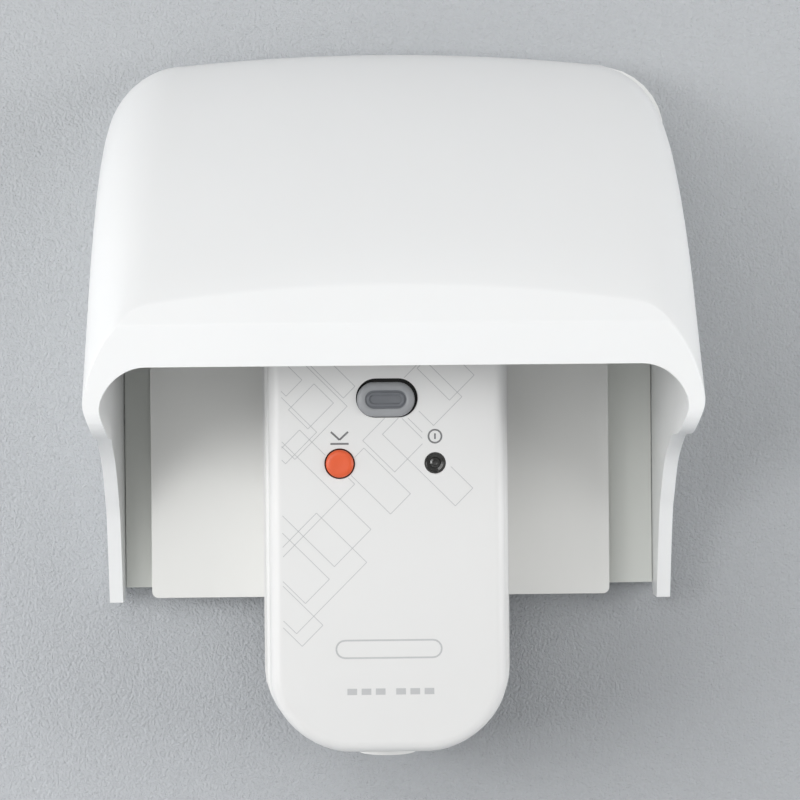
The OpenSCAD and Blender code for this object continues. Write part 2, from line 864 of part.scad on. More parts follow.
module board_screws() {
    color("silver") translate([plug_x, 0, 0]) for (s = [-1, 1], z = board_screw_z) {
        difference() {
            bar_y(s * board_screw_x, z, 1.9, board_back - 1.4, board_back);
            plate(board_back - 2, board_back - 0.6)
                translate([s * board_screw_x, z]) square([2.8, 0.5], center = true);
        }
        bar_y(s * board_screw_x, z, 0.95, board_back, board_front + 3.5);
    }
}

module suppression_capacitor() {
    color("orange") translate([plug_x, 0, 0])
        block(-18, -8.8, 23.5, board_back, -38, -33);
}

module surge_varistor() {
    color("steelblue") bar_z(plug_x + 10.5, 27.6, 4.8, -42, -39);
}

module rectifier_diodes() {
    color("dimgray") for (i = [0:3])
        bar_x(board_back - 1.3, -28.5 - 2.6 * i, 1.2, plug_x - 6.5, plug_x - 2);
}

module leakage_detector_chip() {
    color("dimgray") translate([plug_x, 0, 0]) {
        block(-3.2, 3.2, board_back - 2.6, board_back - 0.4, -23.5, -14.5);
        for (s = [-1, 1], i = [0:3])
            block(s * 3.5 - 0.3, s * 3.5 + 0.3, board_back - 1.8, board_back,
                -22.9 + 2.4 * i, -22.3 + 2.4 * i);
    }
}

module transformer_core() {
    color("dimgray") translate([plug_x, 0, 0]) difference() {
        bar_z(0, ring_d, ring_ro, ring_z, ring_z + ring_h);
        bar_z(0, ring_d, ring_ri, ring_z - 1, ring_z + ring_h + 1);
    }
}

module transformer_winding() {
    gap = 0.02;
    color("peru") translate([plug_x, -ring_d, ring_z + ring_h / 2])
        for (i = [0:loops - 1]) rotate([0, 0, 360 * (i + 0.5) / loops]) difference() {
            translate([ring_ri - loop_wire - gap, -loop_wire / 2, -ring_h / 2 - loop_wire - gap])
                cube([ring_ro - ring_ri + 2 * (loop_wire + gap), loop_wire,
                    ring_h + 2 * (loop_wire + gap)]);
            translate([ring_ri - 0.16, -loop_wire, -ring_h / 2 - gap])
                cube([ring_ro - ring_ri + 0.18, 2 * loop_wire, ring_h + 2 * gap]);
        }
}

module coil_bobbin() {
    color("ivory") translate([plug_x, 0, 0]) difference() {
        union() {
            bar_z(trip_x, trip_d, 3, trip_z0, trip_z1);
            bar_z(trip_x, trip_d, 6, trip_z0, trip_z0 + 1);
            bar_z(trip_x, trip_d, 6, trip_z1 - 1, trip_z1);
        }
        bar_z(trip_x, trip_d, plunger_r + 0.06, trip_z0 - 1, trip_z1 + 1);
    }
}

module coil_winding() {
    color("peru") translate([plug_x, 0, 0]) difference() {
        bar_z(trip_x, trip_d, 5.3, trip_z0 + 1.05, trip_z1 - 1.05);
        bar_z(trip_x, trip_d, 3.05, trip_z0, trip_z1);
    }
}

module coil_yoke() {
    t = 1.2;
    color("silver") translate([plug_x, 0, 0]) difference() {
        union() {
            block(5, 18.4, 15, 26, trip_z0 - t, trip_z0);
            block(5, 18.4, 15, 26, trip_z1, trip_z1 + t);
            block(18.4 - t, 18.4, 15, 26, trip_z0 - t, trip_z1 + t);
        }
        bar_z(trip_x, trip_d, 2.6, trip_z1 - 1, trip_z1 + t + 1);
    }
}

module trip_plunger() {
    color("silver") translate([plug_x, 0, 0]) {
        bar_z(trip_x, trip_d, plunger_r, trip_z0 + 0.5, trip_z1 - 0.3);
        bar_z(trip_x, trip_d, 0.8, trip_z1 - 0.3, -14.4);
        // bent tip that reaches forward under the latch
        block(trip_x - 0.8, trip_x + 0.8, trip_d - 0.8, lever_back + lever_t, -14.4, -13.2);
    }
}

module latch_lever() {
    color("dimgray") translate([plug_x, 0, 0]) difference() {
        union() {
            bar_y(pivot_x, pivot_z, 2.4, lever_back, lever_back + lever_t);
            block(3.9, pivot_x, lever_back, lever_back + lever_t,
                pivot_z - lever_h / 2, pivot_z + lever_h / 2);
            block(3.9, 5.5, lever_back, lever_back + lever_t, pivot_z, pivot_z + 2.5);
        }
        bar_y(pivot_x, pivot_z, pivot_r + 0.05, lever_back - 1, lever_back + lever_t + 1);
    }
}

module latch_spring() {
    color("silver") coil_y(plug_x + pivot_x, pivot_z, 1.4, 0.2,
        lever_back + lever_t + 0.1, 28.4, 3);
}

// ---------- cable end ----------

module terminal_block() {
    color("ivory") translate([plug_x, 0, 0])
        block(-12, 12, floor_d, 14, term_z0 - 1, term_z1 + 1);
}

module cable_terminals() {
    color("gold") translate([plug_x, 0, 0]) for (x = term_x) difference() {
        block(x - 2.5, x + 2.5, 14, 21, term_z0, term_z1);
        bar_z(x, 16.5, 1.4, term_z0 - 1, term_z1 - 1.5);
        bar_y(x, -50.5, 1.55, 17, 22);
    }
}

module cable_terminal_screws() {
    color("silver") translate([plug_x, 0, 0]) for (x = term_x) difference() {
        bar_y(x, -50.5, 1.5, 18, 24);
        plate(23.2, 25) translate([x, -50.5]) square([4, 0.6], center = true);
    }
}

module cable_clamp() {
    color("ivory") translate([plug_x, 0, 0]) difference() {
        block(-11, 11, 20.2, 24.4, clamp_z - 2.2, clamp_z + 2.2);
        for (s = [-1, 1]) {
            bar_y(s * clamp_x, clamp_z, 1.3, 19, 26);
            block(s * clamp_x - 3, s * clamp_x + 3, 19, 22, clamp_z - 3, clamp_z + 3);
        }
        bar_z(0, gland_d, gland_r - 0.4, clamp_z - 3, clamp_z + 3);
    }
}

module clamp_screws() {
    color("silver") translate([plug_x, 0, 0]) for (s = [-1, 1]) {
        bar_y(s * clamp_x, clamp_z, 1, floor_d + 2, 24.4);
        difference() {
            bar_y(s * clamp_x, clamp_z, 2.1, 24.4, 26.2);
            plate(25.3, 27) translate([s * clamp_x, clamp_z]) square([5, 0.6], center = true);
        }
    }
}

module cable_gland() {
    color("whitesmoke") translate([plug_x, 0, 0]) difference() {
        union() {
            bar_z(0, gland_d, 5.2, case_bottom - gland_out, case_bottom + 5.5);
            bar_z(0, gland_d, 6, case_bottom + 5.1, case_bottom + 6.3);
        }
        bar_z(0, gland_d, gland_r, case_bottom - gland_out - 1, case_bottom + 8);
        // the flange is flat where it passes the case's floor
        block(-7, 7, gland_d - 7, floor_d + 0.1, case_bottom + 5, case_bottom + 7);
    }
}

wall_gasket();
base_frame();
splash_hood();
hinge_pins();
socket_cover();
socket_yoke();
socket_housing();
safety_shutter();
shutter_spring();
socket_live_contact();
socket_neutral_contact();
socket_earth_contact();
socket_terminal_screws();
mounting_screws();
rear_shell();
front_shell();
case_screws();
live_pin();
neutral_pin();
earth_pin();
earth_strap();
fixed_contacts();
contact_carrier();
moving_contacts();
carrier_springs();
reset_button();
reset_spring();
test_button();
test_contact_spring();
indicator_lens();
indicator_led();
circuit_board();
board_screws();
suppression_capacitor();
surge_varistor();
rectifier_diodes();
leakage_detector_chip();
transformer_core();
transformer_winding();
live_busbar();
neutral_busbar();
coil_bobbin();
coil_winding();
coil_yoke();
trip_plunger();
latch_lever();
latch_spring();
terminal_block();
cable_terminals();
cable_terminal_screws();
cable_clamp();
clamp_screws();
cable_gland();
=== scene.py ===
"""Looks for the splash-hooded socket with its plug-in residual current device.

Sizes are millimetres in the part's own frame: x to the right, d = depth in front of the wall
plane (the part's -y), z up. They are turned into metres when a mesh is made.
"""

import json
import math

import bmesh
import bpy
from mathutils import Matrix, Vector


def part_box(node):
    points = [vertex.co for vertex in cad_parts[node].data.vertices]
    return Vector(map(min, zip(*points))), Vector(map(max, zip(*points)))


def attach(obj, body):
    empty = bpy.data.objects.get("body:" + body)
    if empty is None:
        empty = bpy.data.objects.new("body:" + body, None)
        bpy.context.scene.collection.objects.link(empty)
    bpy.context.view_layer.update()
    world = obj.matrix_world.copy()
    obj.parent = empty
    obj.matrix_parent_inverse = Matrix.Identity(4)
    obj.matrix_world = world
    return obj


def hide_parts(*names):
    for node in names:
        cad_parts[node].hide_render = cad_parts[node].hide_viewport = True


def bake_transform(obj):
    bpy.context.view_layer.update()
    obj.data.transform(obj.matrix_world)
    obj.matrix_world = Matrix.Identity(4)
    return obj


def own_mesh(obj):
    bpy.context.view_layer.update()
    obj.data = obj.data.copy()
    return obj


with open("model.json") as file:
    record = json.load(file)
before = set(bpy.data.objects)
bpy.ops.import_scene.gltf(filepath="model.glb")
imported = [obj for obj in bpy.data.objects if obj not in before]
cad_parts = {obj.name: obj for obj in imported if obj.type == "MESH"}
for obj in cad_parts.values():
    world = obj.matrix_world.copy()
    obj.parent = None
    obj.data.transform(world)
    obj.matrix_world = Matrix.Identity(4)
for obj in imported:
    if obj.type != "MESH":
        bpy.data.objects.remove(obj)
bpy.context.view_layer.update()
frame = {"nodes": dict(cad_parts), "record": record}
MM = 0.001

# ---------------------------------------------------------------- driving dimensions

HINGE = (7.2, 52.8)           # depth, height of the hood's hinge axis
RING_R = 6.0                  # outside radius of the hood round that axis
HOOD_T = 2.4                  # wall thickness of the hood's top
SIDE_T = 2.5                  # wall thickness of its sides
LIP_D = 60.5                  # depth of the lip's front face
LIP_Z = 0.2                   # height of the lip's lower edge
WING_Z = -43.8                # lower end of the wings
BACK_D = HINGE[0] - RING_R    # back edge of the hood

hood_lo, hood_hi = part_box("splash_hood")
HOOD_X = (hood_lo.x + hood_hi.x) / 2 / MM
HOOD_HW = (hood_hi.x - hood_lo.x) / 2 / MM

shell_lo, shell_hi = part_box("front_shell")
PLUG_X = (shell_lo.x + shell_hi.x) / 2 / MM
SHELL_HW = (shell_hi.x - shell_lo.x) / 2 / MM
SHELL_FRONT = -shell_lo.y / MM
SHELL_BACK = -shell_hi.y / MM
SHELL_TOP = shell_hi.z / MM
SHELL_BOTTOM = shell_lo.z / MM


# ---------------------------------------------------------------- small geometry helpers

def bezier(a, b, c, d, t):
    """A point on the cubic curve from a to d."""
    s = 1 - t
    return tuple(s**3 * p + 3 * s * s * t * q + 3 * s * t * t * r + t**3 * w
                 for p, q, r, w in zip(a, b, c, d))


def mix(a, b, t):
    return tuple(p + (q - p) * t for p, q in zip(a, b))


def point(x, d, z):
    return Vector((x * MM, -d * MM, z * MM))


def new_mesh(name, points, faces):
    """A mesh object from (x, d, z) points in millimetres, with its faces turned outwards."""
    mesh = bpy.data.meshes.new(name)
    mesh.from_pydata([point(*p) for p in points], [], faces)
    mesh.validate()
    ob = bpy.data.objects.new(name, mesh)
    bpy.context.scene.collection.objects.link(ob)
    tidy_mesh(ob)
    return ob


def tidy_mesh(ob, merge=1e-6):
    """Joins doubled points, drops slivers and turns the faces outwards."""
    bm = bmesh.new()
    bm.from_mesh(ob.data)
    bmesh.ops.remove_doubles(bm, verts=bm.verts, dist=merge)
    bmesh.ops.dissolve_degenerate(bm, edges=bm.edges, dist=merge)
    bmesh.ops.recalc_face_normals(bm, faces=bm.faces)
    bm.to_mesh(ob.data)
    bm.free()


def loft(name, loops):
    """A closed solid through loops of equal length, capped at both ends."""
    n = len(loops[0])
    points = [p for loop in loops for p in loop]
    faces = [[i * n + j, i * n + (j + 1) % n, (i + 1) * n + (j + 1) % n, (i + 1) * n + j]
             for i in range(len(loops) - 1) for j in range(n)]
    faces.append(list(range(n))[::-1])
    faces.append([(len(loops) - 1) * n + j for j in range(n)])
    return new_mesh(name, points, faces)


def prism_y(name, outline, d0, d1):
    """An (x, z) outline extruded between two depths."""
    return loft(name, [at_depth(outline, d) for d in (d0, d1)])


def prism_x(name, outline, x0, x1):
    """A (d, z) outline extruded between two x values."""
    return loft(name, [[(x, d, z) for d, z in outline] for x in (x0, x1)])


def circle(r, n=48, x=0.0, z=0.0):
    return [(x + r * math.cos(2 * math.pi * i / n), z + r * math.sin(2 * math.pi * i / n))
            for i in range(n)]


def stadium(w, h, n=20, z=0.0):
    """Outline of a slot with round ends, centred on x = 0."""
    r = h / 2
    half = w / 2 - r
    turns = [math.pi * (i / n - 0.5) for i in range(n + 1)]
    right = [(half + r * math.cos(a), z + r * math.sin(a)) for a in turns]
    left = [(-half - r * math.cos(a), z - r * math.sin(a)) for a in turns]
    return right + left


def applied(ob):
    """Replaces an object's mesh with the result of its modifiers."""
    bpy.context.view_layer.update()
    graph = bpy.context.evaluated_depsgraph_get()
    mesh = bpy.data.meshes.new_from_object(ob.evaluated_get(graph))
    ob.modifiers.clear()
    ob.data = mesh


def carve(target, *cutters, operation="DIFFERENCE"):
    """Cuts solids out of the target, or joins them to it, or keeps what they share."""
    for cutter in cutters:
        cut = target.modifiers.new("cut", "BOOLEAN")
        cut.operation = operation
        cut.solver = "EXACT"
        cut.object = cutter
        applied(target)
        bpy.data.objects.remove(cutter)
    tidy_mesh(target)


def soften(ob, width, angle):
    """Rounds every edge sharper than the angle."""
    bevel = ob.modifiers.new("soft_edges", "BEVEL")
    bevel.width = width * MM
    bevel.segments = 2
    bevel.limit_method = "ANGLE"
    bevel.angle_limit = math.radians(angle)


def smooth(ob, angle=30):
    """Smooth shading, except across edges sharper than the angle."""
    ob.data.shade_smooth()
    ob.data.set_sharp_from_angle(angle=math.radians(angle))


def shift(ob, x, z=0.0):
    for vertex in ob.data.vertices:
        vertex.co.x += x * MM
        vertex.co.z += z * MM


def at_depth(outline, d):
    return [(x, d, z) for x, z in outline]


def ease(v, a, b):
    """Rises smoothly from 0 to 1 as v goes from a to b."""
    t = min(max((v - a) / (b - a), 0), 1)
    return t * t * (3 - 2 * t)


def place(ob, body, slot, *nodes, material=None):
    """Gives a piece its body and its material, and hides the CAD nodes it stands for."""
    ob.data.materials.clear()
    ob.data.materials.append(material or MATERIALS[slot])
    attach(ob, body)
    if nodes:
        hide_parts(*nodes)


# ---------------------------------------------------------------- materials

def srgb(r, g, b):
    """A colour from its 0 to 255 values."""
    def lin(v):
        v = v / 255
        return v / 12.92 if v <= 0.04045 else ((v + 0.055) / 1.055) ** 2.4
    return (lin(r), lin(g), lin(b), 1.0)


class Nodes:
    """A short way to write a node material."""

    def __init__(self, name):
        self.material = bpy.data.materials.new(name)
        self.material.use_nodes = True
        self.tree = self.material.node_tree
        self.shader = self.tree.nodes["Principled BSDF"]
        self.coords = self.add("ShaderNodeTexCoord").outputs["Object"]

    def add(self, kind, **settings):
        node = self.tree.nodes.new(kind)
        for key, value in settings.items():
            setattr(node, key, value)
        return node

    def link(self, a, b):
        self.tree.links.new(a, b)

    def noise(self, scale, detail=3.0, roughness=0.5, stretch=None):
        node = self.add("ShaderNodeTexNoise")
        node.inputs["Scale"].default_value = scale
        node.inputs["Detail"].default_value = detail
        node.inputs["Roughness"].default_value = roughness
        source = self.coords
        if stretch:
            mapping = self.add("ShaderNodeMapping")
            mapping.inputs["Scale"].default_value = stretch
            self.link(source, mapping.inputs["Vector"])
            source = mapping.outputs["Vector"]
        self.link(source, node.inputs["Vector"])
        return node.outputs["Fac"]

    def span(self, value, low, high, start=0.3, end=0.7):
        """Turns start to end into low to high. Noise mostly lies from 0.3 to 0.7."""
        node = self.add("ShaderNodeMapRange")
        node.inputs["From Min"].default_value = start
        node.inputs["From Max"].default_value = end
        node.inputs["To Min"].default_value = low
        node.inputs["To Max"].default_value = high
        self.link(value, node.inputs["Value"])
        return node.outputs["Result"]

    def blend(self, factor, a, b):
        node = self.add("ShaderNodeMix", data_type="RGBA")
        self.link(factor, node.inputs["Factor"])
        node.inputs["A"].default_value = a
        node.inputs["B"].default_value = b
        return node.outputs["Result"]

    def bump(self, height, strength, distance, normal=None):
        node = self.add("ShaderNodeBump")
        node.inputs["Strength"].default_value = strength
        node.inputs["Distance"].default_value = distance * MM
        self.link(height, node.inputs["Height"])
        if normal:
            self.link(normal, node.inputs["Normal"])
        return node.outputs["Normal"]

    def set(self, **values):
        for key, value in values.items():
            self.shader.inputs[key.replace("_", " ")].default_value = value


def scaled(colour, k):
    """The colour, k times as bright."""
    return (colour[0] * k, colour[1] * k, colour[2] * k, 1.0)


def moulded(name, colour, rough=0.35, grain=0.03, glow=0.0, cloud=0.03):
    """Injection-moulded plastic: slow shade drift, fine grain, uneven gloss."""
    m = Nodes(name)
    drift = m.noise(35.0, 2.0)
    m.link(m.blend(m.span(drift, 0, 1), scaled(colour, 1 - cloud), colour),
           m.shader.inputs["Base Color"])
    m.link(m.span(m.noise(220.0, 4.0), rough - 0.04, rough + 0.05), m.shader.inputs["Roughness"])
    if grain:
        m.link(m.bump(m.noise(2600.0, 2.0), grain, 0.05), m.shader.inputs["Normal"])
    m.set(IOR=1.47)
    if glow:
        m.shader.inputs["Subsurface Weight"].default_value = glow
        m.shader.inputs["Subsurface Radius"].default_value = (0.0012, 0.0011, 0.001)
    return m.material


def button_material(name, colour, gap_shade, rough=0.4):
    """A button's plastic, with painted shade that turns it dark down in the gap round it, where no
    light gets.
    """
    m = Nodes(name)
    split = m.add("ShaderNodeSeparateXYZ")
    m.link(m.add("ShaderNodeNewGeometry").outputs["Position"], split.inputs["Vector"])
    shade_starts, shade_full = -0.0404, -0.0396
    # painted shade: the button's sides darken towards the gap, set by their place in space
    gap_shade_mask = m.span(split.outputs["Y"], 0, 1, shade_starts, shade_full)
    drift = m.blend(m.span(m.noise(300.0, 3.0), 0, 1), scaled(colour, 0.94), colour)
    shade = m.add("ShaderNodeMix", data_type="RGBA")
    m.link(gap_shade_mask, shade.inputs["Factor"])
    m.link(drift, shade.inputs["A"])
    shade.inputs["B"].default_value = gap_shade
    m.link(shade.outputs["Result"], m.shader.inputs["Base Color"])
    m.link(m.bump(m.noise(1800.0, 2.0), 0.05, 0.04), m.shader.inputs["Normal"])
    m.set(Roughness=rough)
    return m.material


def metal(name, colour, rough=0.3, brushed=(1, 1, 14)):
    """Metal with fine drawn lines and a little tarnish."""
    m = Nodes(name)
    lines = m.noise(900.0, 3.0, stretch=brushed)
    stain = m.noise(160.0, 4.0)
    m.link(m.blend(m.span(stain, 0, 1), scaled(colour, 0.78), colour),
           m.shader.inputs["Base Color"])
    m.link(m.span(lines, rough - 0.08, rough + 0.12), m.shader.inputs["Roughness"])
    m.link(m.bump(lines, 0.08, 0.05), m.shader.inputs["Normal"])
    m.set(Metallic=1.0)
    return m.material


def laminate():
    """Circuit board: green mask over a faint glass weave, with lighter tracks."""
    m = Nodes("board_laminate")
    weave = m.add("ShaderNodeTexWave", wave_type="BANDS", bands_direction="X")
    weave.inputs["Scale"].default_value = 900.0
    m.link(m.coords, weave.inputs["Vector"])
    tracks = m.add("ShaderNodeTexBrick")
    tracks.inputs["Scale"].default_value = 160.0
    tracks.inputs["Mortar Size"].default_value = 0.03
    tracks.inputs["Color1"].default_value = srgb(28, 92, 52)
    tracks.inputs["Color2"].default_value = srgb(24, 84, 48)
    tracks.inputs["Mortar"].default_value = srgb(60, 128, 78)
    m.link(m.coords, tracks.inputs["Vector"])
    m.link(tracks.outputs["Color"], m.shader.inputs["Base Color"])
    m.link(m.bump(weave.outputs["Fac"], 0.1, 0.03), m.shader.inputs["Normal"])
    m.set(Roughness=0.38)
    return m.material


def smoked():
    """Dark tinted window."""
    m = Nodes("smoked_lens")
    m.link(m.blend(m.span(m.noise(400.0, 2.0), 0, 1), srgb(40, 40, 38), srgb(58, 58, 56)),
           m.shader.inputs["Base Color"])
    m.link(m.bump(m.noise(500.0, 1.0), 0.05, 0.1), m.shader.inputs["Normal"])
    m.set(Roughness=0.12, IOR=1.5)
    m.shader.inputs["Coat Weight"].default_value = 0.5
    return m.material


GAP_SHADE = srgb(14, 14, 14)        # painted shade down in the gap round the reset button
MATERIALS = {
    "hood_plastic": moulded("hood_plastic", srgb(244, 245, 245), 0.32, 0.0, 0.05, 0.012),
    "base_plastic": moulded("base_plastic", srgb(231, 233, 228), 0.42, 0.05),
    "panel_plastic": moulded("panel_plastic", srgb(234, 234, 231), 0.34, 0.03),
    "case_plastic": moulded("case_plastic", srgb(230, 230, 229), 0.36, 0.01, 0.04, 0.012),
    "foam_rubber": moulded("foam_rubber", srgb(250, 250, 249), 0.7, 0.1),
    "gland_rubber": moulded("gland_rubber", srgb(234, 234, 232), 0.6, 0.2),
    "grey_button": button_material("grey_button", srgb(158, 160, 163), GAP_SHADE),
    "orange_button": button_material("orange_button", srgb(232, 98, 56), srgb(90, 20, 12), 0.36),
    "smoked_lens": smoked(),
    "red_led": moulded("red_led", srgb(140, 30, 26), 0.15, 0.01),
    "nylon": moulded("nylon", srgb(222, 216, 196), 0.5, 0.15),
    "dark_nylon": moulded("dark_nylon", srgb(52, 53, 56), 0.45, 0.15),
    "brass": metal("brass", srgb(206, 168, 92), 0.28),
    "plated_steel": metal("plated_steel", srgb(190, 192, 194), 0.3),
    "spring_steel": metal("spring_steel", srgb(150, 152, 156), 0.22, (1, 1, 1)),
    "copper": metal("copper", srgb(190, 110, 70), 0.3, (14, 14, 1)),
    "board_laminate": laminate(),
    "capacitor_film": moulded("capacitor_film", srgb(206, 122, 40), 0.35, 0.05),
    "varistor_coat": moulded("varistor_coat", srgb(42, 74, 140), 0.4, 0.2),
    "black_epoxy": moulded("black_epoxy", srgb(34, 34, 35), 0.5, 0.2),
    "ferrite": moulded("ferrite", srgb(58, 58, 60), 0.55, 0.4),
}
PRINT = moulded("print_grey", srgb(194, 195, 196), 0.5, 0.02)
PRINT_DARK = moulded("print_dark", srgb(122, 123, 124), 0.5, 0.02)

# ---------------------------------------------------------------- the CAD nodes

EDGE = {"socket_cover": 0.55, "base_frame": 0.3, "rear_shell": 0.3, "cable_gland": 0.45}
SMALL_EDGE = 0.12             # rounding of the other nodes, in millimetres like EDGE
SHARP = {"wall_gasket", "socket_housing"}
SPRINGS = {"shutter_spring", "carrier_springs", "reset_spring", "latch_spring"}


def dress_cad_nodes():
    """Gives each CAD node its material, with rounded edges and rounder wires."""
    slot_of = {s["node"]: s["material_slot"] for s in frame["record"]["subparts"]}
    for name, ob in frame["nodes"].items():
        ob.data.materials.clear()
        ob.data.materials.append(MATERIALS[slot_of[name]])
        weld = ob.modifiers.new("weld", "WELD")
        weld.merge_threshold = 2e-6
        if name in SPRINGS:
            rounder = ob.modifiers.new("round_wire", "SUBSURF")
            rounder.levels = 1
            rounder.render_levels = 1
        elif name not in SHARP:
            soften(ob, EDGE.get(name, SMALL_EDGE), 40)


# ---------------------------------------------------------------- hood

RING_STEPS, SLOPE_STEPS, MID_COLS, CORNER_COLS = 10, 26, 12, 14
RING_START, RING_END = -88, 28  # degrees past the top, from the back to the slope
EDGE_DROP = 18.0              # the side wall starts this far below the ridge
CREASE = (58.5, 14.0)         # depth, height of the crease at the middle
FACET_Z = 7.3                 # height where the lip turns fully upright
TIP = (59.8, -6.8)            # the lip's lower corner on the side wall
KNEE = (47.5, 9.8)            # where the side wall's top turns straight down to the tip
KNEE_AT = 0.72                # how far along the side wall's top that is, from 0 to 1
WING_TURN = (50, -12.1)       # where the wing's lower edge leaves the lip's corner
WING_WAIST = (15.4, -26)      # where it turns down to the wing's end
FACET_LEAN, LIP_LEAN = 0.3, 0.055       # depth lost for each millimetre of height
CROWN_TOP, CROWN_CREASE = 1.9, 3.2      # how far each row drops before its corners
REACH_TOP, REACH_CREASE = 15.1, 11.0    # width of the corners
INSIDE_TOP = 10.4             # highest point of the inner front face
TUCK = 1.4                    # how far the lower front corners are drawn in
TUCK_D, TUCK_Z = (26, 52), (5.5, 12)    # depths, and distances below 0, where that sets in
KNUCKLE_R, KNUCKLE_W, KNUCKLE_X = 3.5, 3.2, (14.5, 26.3)
HINGE_HOLE_R, HINGE_HOLE_X = 1.3, (14, 30)


def ring_point(t, r):
    """Depth and height on the ring round the hinge axis."""
    a = math.radians(RING_START + (RING_END - RING_START) * t)
    return (HINGE[0] + r * math.sin(a), HINGE[1] + r * math.cos(a))


SLOPE_START = ring_point(1, RING_R)


def ridge(t):
    """Depth and height along the middle of the slope, from the ring to the crease."""
    return bezier(SLOPE_START, (27.7, 49.1), (52.4, 24.8), CREASE, t)


def edge(t):
    """The same along the top of the side wall, down to the lip's corner."""
    start = (SLOPE_START[0], SLOPE_START[1] - EDGE_DROP)
    if t < KNEE_AT:
        return bezier(start, (22, 37.5), (38, 23.5), KNEE, t / KNEE_AT)
    return mix(KNEE, TIP, (t - KNEE_AT) / (1 - KNEE_AT))


def inward(curve, t, by):
    """A point moved square to a curve, into the hood."""
    a, b = curve(max(t - 0.01, 0)), curve(min(t + 0.01, 1))
    dx, dz = b[0] - a[0], b[1] - a[1]
    k = by / math.hypot(dx, dz)
    p = curve(t)
    return (p[0] + dz * k, p[1] - dx * k)


def lip_face(z):
    """Depth of the lip's face, which leans in a little towards its lower edge."""
    return LIP_D - LIP_LEAN * (FACET_Z - z)


def hood_row(middle, side, crown, flat, hw, power):
    """Points across the hood: crowned middle, then a rounded corner to each side wall."""
    half = []
    reach = hw - flat
    end = (middle[0], middle[1] - crown)
    for j in range(1, MID_COLS):
        u = j / MID_COLS
        half.append((u * flat, middle[0], middle[1] - crown * u * u))
    for j in range(CORNER_COLS + 1):
        s = math.sin(math.pi / 2 * j / CORNER_COLS)
        fall = 1 - max(1 - s**power, 0) ** (1 / power)
        d, z = mix(end, side, fall)
        half.append((flat + reach * s, d, z))
    left = [(-x, d, z) for x, d, z in reversed(half)]
    return left + [(0, middle[0], middle[1])] + half


def top_rows(inset, hw):
    """Rows over the ring, and (t, row) pairs down the slope to the crease."""
    ring_rows, slope_rows = [], []
    flat = HOOD_HW - REACH_TOP
    for i in range(RING_STEPS + 1):
        p = ring_point(i / RING_STEPS, RING_R - inset)
        q = ring_point(i / RING_STEPS, RING_R)
        ring_rows.append(hood_row(p, (q[0], q[1] - EDGE_DROP), CROWN_TOP, flat, hw, 2.0))
    for t in [i / SLOPE_STEPS for i in range(1, SLOPE_STEPS)] + [0.988, 1.0]:
        d, z = edge(t)
        if inset:
            d = min(d, LIP_D - inset)
        flat = HOOD_HW - (REACH_TOP + (REACH_CREASE - REACH_TOP) * t)
        crown = CROWN_TOP + (CROWN_CREASE - CROWN_TOP) * t
        row = hood_row(inward(ridge, t, inset), (d, z), crown, flat, hw, 2.0 - 0.4 * t)
        slope_rows.append((t, row))
    return ring_rows, slope_rows


def facet_rows(slope_rows):
    """Rows from the crease down to the lip's face, with tight bends at both ends."""
    crease_row = slope_rows[-1][1]
    foot = [(x, lip_face(min(FACET_Z, z - 0.4)), min(FACET_Z, z - 0.4)) for x, d, z in crease_row]
    # the facet leans back from the lip up to the crease
    top = [(x, f[1] - FACET_LEAN * (z - f[2]), z) for (x, d, z), f in zip(crease_row, foot)]
    # the slope swells forward to meet the facet where the crease runs down the corners
    swell = [a[1] - b[1] for a, b in zip(top, crease_row)]
    for t, row in slope_rows:
        row[:] = [(x, d + k * t**3, z) for (x, d, z), k in zip(row, swell)]
    crease_row[:] = top
    rows = [[mix(a, b, t) for a, b in zip(top, foot)] for t in (0.05, 0.94, 1.0)]
    rows.append([(x, lip_face(z - 0.35), z - 0.35) for x, d, z in foot])
    return rows


def hood_body(name, inset, back):
    """The hood's outside, or its inside when inset, closed at the back and below the wings."""
    hw = HOOD_HW - (SIDE_T if inset else 0)
    bottom = WING_Z - 8
    rows, slope_rows = top_rows(inset, hw)
    rows += [row for t, row in slope_rows]
    if inset:
        front = LIP_D - inset
        rows.append([(x, front, min(z - 1.5, INSIDE_TOP)) for x, d, z in rows[-1]])
    else:
        front = lip_face(bottom)
        rows += facet_rows(slope_rows)
    rows.append([(x, front, bottom) for x, d, z in rows[-1]])
    rows.insert(0, [(x, back, z + 1) for x, d, z in rows[0]])
    rows.append([(x, back, bottom) for x, d, z in rows[-1]])
    n = len(rows[0])
    points = [p for row in rows for p in row]
    faces = [[i * n + j, i * n + j + 1, (i + 1) * n + j + 1, (i + 1) * n + j]
             for i in range(len(rows) - 1) for j in range(n - 1)]
    last = (len(rows) - 1) * n
    faces += [[last + j, last + j + 1, j + 1, j] for j in range(n - 1)]
    faces.append([i * n for i in range(len(rows))])
    faces.append([i * n + n - 1 for i in range(len(rows))])
    return new_mesh(name, points, faces)


def wing_outline():
    """Depth and height along the lower edge of a side wall, from the lip to the back."""
    foot = (9.5, WING_Z)
    line = [bezier(TIP, (59.5, -9.8), (57.5, -11.8), WING_TURN, i / 10) for i in range(11)]
    line += [bezier(WING_TURN, (21, -12.4), (21.5, -20), WING_WAIST, i / 20)
             for i in range(1, 21)]
    line += [bezier(WING_WAIST, (13.2, -30), (11.5, -37), foot, i / 8) for i in range(1, 9)]
    return line + [(3.5, WING_Z), (BACK_D - 1, WING_Z + 4.4)]


def opening_outline():
    """Width and height of the opening under the lip, with rounded upper corners."""
    hw = HOOD_HW - SIDE_T
    rx, rz = 8.2, 9.0
    right = [(hw, WING_Z - 9)]
    for i in range(13):
        a = math.pi / 2 * i / 12
        right.append((hw - rx + rx * math.cos(a), LIP_Z - rz + rz * math.sin(a)))
    return right + [(-x, z) for x, z in reversed(right)]


